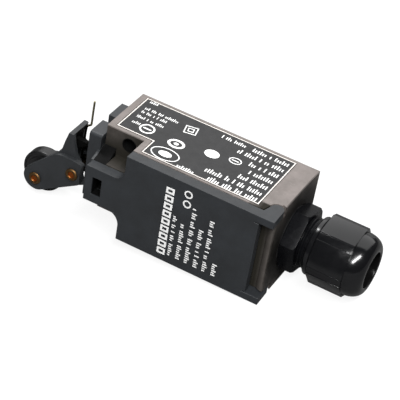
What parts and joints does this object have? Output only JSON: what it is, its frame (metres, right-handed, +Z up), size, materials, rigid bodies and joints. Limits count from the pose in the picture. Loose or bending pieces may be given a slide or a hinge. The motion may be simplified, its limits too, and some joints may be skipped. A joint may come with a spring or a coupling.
{
  "type": "limit switch",
  "caption": "Small limit switch: plastic box with a hinged front cover, a roller lever on one end that pushes a sprung plunger, and a screwed cable gland on the other.",
  "frame": {"origin": "middle of the bottom of the switch's bounding box; the bottom is the lowest point of the roller", "axes": "+X towards the cable gland, +Y from the front cover to the mounting face, +Z up through the labelled side"},
  "size_m": [0.1146, 0.03, 0.0386],
  "materials": {
    "brass": "plain",
    "claw_grey": "moulded",
    "cover_blue_grey": "moulded, satin",
    "gland_black": "moulded, glossy",
    "housing_grey": "moulded, satin",
    "insulator_ivory": "moulded",
    "label_black": "printed film",
    "lever_blue_grey": "moulded, satin",
    "plunger_white": "moulded",
    "roller_black": "moulded",
    "rubber_black": "matt",
    "steel": "plain"
  },
  "bodies": {
    "housing": {"base_housing": "housing_grey", "rating_label": "label_black", "head_body": "cover_blue_grey", "head_gasket": "rubber_black", "pivot_rivet": "brass", "lever_spring": "steel", "plunger_spring": "steel", "plunger_seal": "rubber_black", "contact_block_body": "insulator_ivory", "contact_block_lid": "insulator_ivory", "carrier_return_spring": "steel", "gland_body": "gland_black", "gland_o_ring": "rubber_black", "terminal_plate_1": "brass", "terminal_plate_2": "brass", "terminal_plate_3": "brass", "terminal_plate_4": "brass", "terminal_clamp_1": "steel", "terminal_clamp_2": "steel", "terminal_clamp_3": "steel", "terminal_clamp_4": "steel", "terminal_screw_1": "steel", "terminal_screw_2": "steel", "terminal_screw_3": "steel", "terminal_screw_4": "steel"},
    "cover": {"front_cover": "cover_blue_grey", "cover_gasket": "rubber_black"},
    "lever": {"roller_lever": "lever_blue_grey", "roller_rivet": "brass"},
    "roller_wheel": {"roller": "roller_black"},
    "plunger_rod": {"plunger": "plunger_white"},
    "carrier": {"contact_carrier": "plunger_white", "nc_contact_bridge": "brass", "no_contact_bridge": "brass", "nc_contact_spring": "steel", "no_contact_spring": "steel"},
    "gland_grip": {"gland_claw": "claw_grey", "gland_seal": "rubber_black"},
    "cap_nut": {"gland_cap_nut": "gland_black"}
  },
  "joints": [
    {"name": "cover_hinge", "type": "hinge", "parent": "housing", "child": "cover", "pos_m": [0.0297, -0.0089, 0.0235], "axis": [0, 0, 1], "range_deg": [0, 90]},
    {"name": "lever_pivot", "type": "hinge", "parent": "housing", "child": "lever", "pos_m": [-0.038, 0.0022, 0.0143], "axis": [0, 1, 0], "range_deg": [0, 22], "stiffness_Nm_per_rad": 0.4, "deforming": ["lever_spring"]},
    {"name": "roller_spin", "type": "hinge", "parent": "lever", "child": "roller_wheel", "pos_m": [-0.0504, 0.0022, 0.0069], "axis": [0, 1, 0], "continuous": true},
    {"name": "plunger_slide", "type": "slide", "parent": "housing", "child": "plunger_rod", "axis": [1, 0, 0], "range_m": [0, 0.0033], "deforming": ["plunger_spring"]},
    {"name": "carrier_slide", "type": "slide", "parent": "housing", "child": "carrier", "axis": [1, 0, 0], "range_m": [0, 0.0033], "deforming": ["nc_contact_spring", "no_contact_spring", "carrier_return_spring"]},
    {"name": "gland_squeeze", "type": "slide", "parent": "housing", "child": "gland_grip", "axis": [1, 0, 0], "range_m": [0, 0.003]},
    {"name": "cap_nut_turn", "type": "hinge", "parent": "gland_grip", "child": "cap_nut", "pos_m": [0.0308, 0.0022, 0.0235], "axis": [1, 0, 0], "range_deg": [0, 720]}
  ],
  "couplings": [
    {"joint": "plunger_slide", "follows": "lever_pivot", "m_per_rad": 0.0084},
    {"joint": "carrier_slide", "follows": "lever_pivot", "m_per_rad": 0.0084},
    {"joint": "cap_nut_turn", "follows": "gland_squeeze", "rad_per_m": 4188.8}
  ]
}
